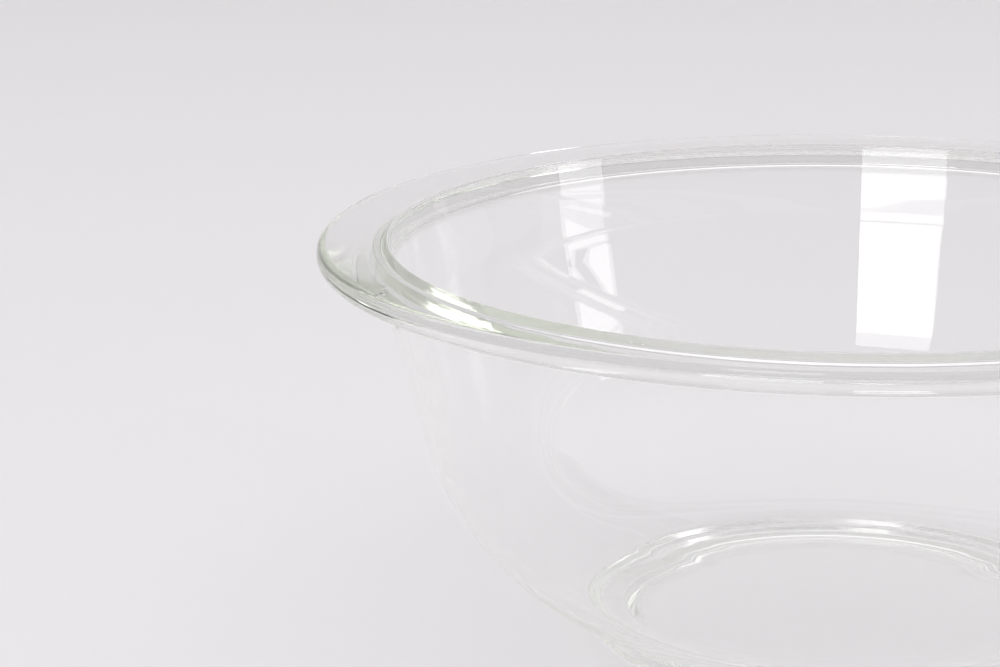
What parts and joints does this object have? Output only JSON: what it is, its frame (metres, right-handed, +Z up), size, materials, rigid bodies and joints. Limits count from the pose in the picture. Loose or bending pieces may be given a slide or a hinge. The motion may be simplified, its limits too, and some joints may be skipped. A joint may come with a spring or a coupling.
{
  "type": "mixing bowl",
  "caption": "Round clear glass mixing bowl with tapering walls, a wide out-turned flange rim and a low foot ring; holds dough, batter or other ingredients.",
  "frame": {"origin": "centre of the plane that the foot ring stands on", "axes": "+Z up along the bowl's axis of revolution, towards the mouth; +X and +Y are any two square directions, because the bowl is round"},
  "size_m": [0.25, 0.25, 0.0968],
  "materials": {
    "clear_glass": "clear, fire-polished, faint grey-green tint in thick sections"
  },
  "bodies": {
    "root": {"bowl": "clear_glass"}
  },
  "joints": []
}
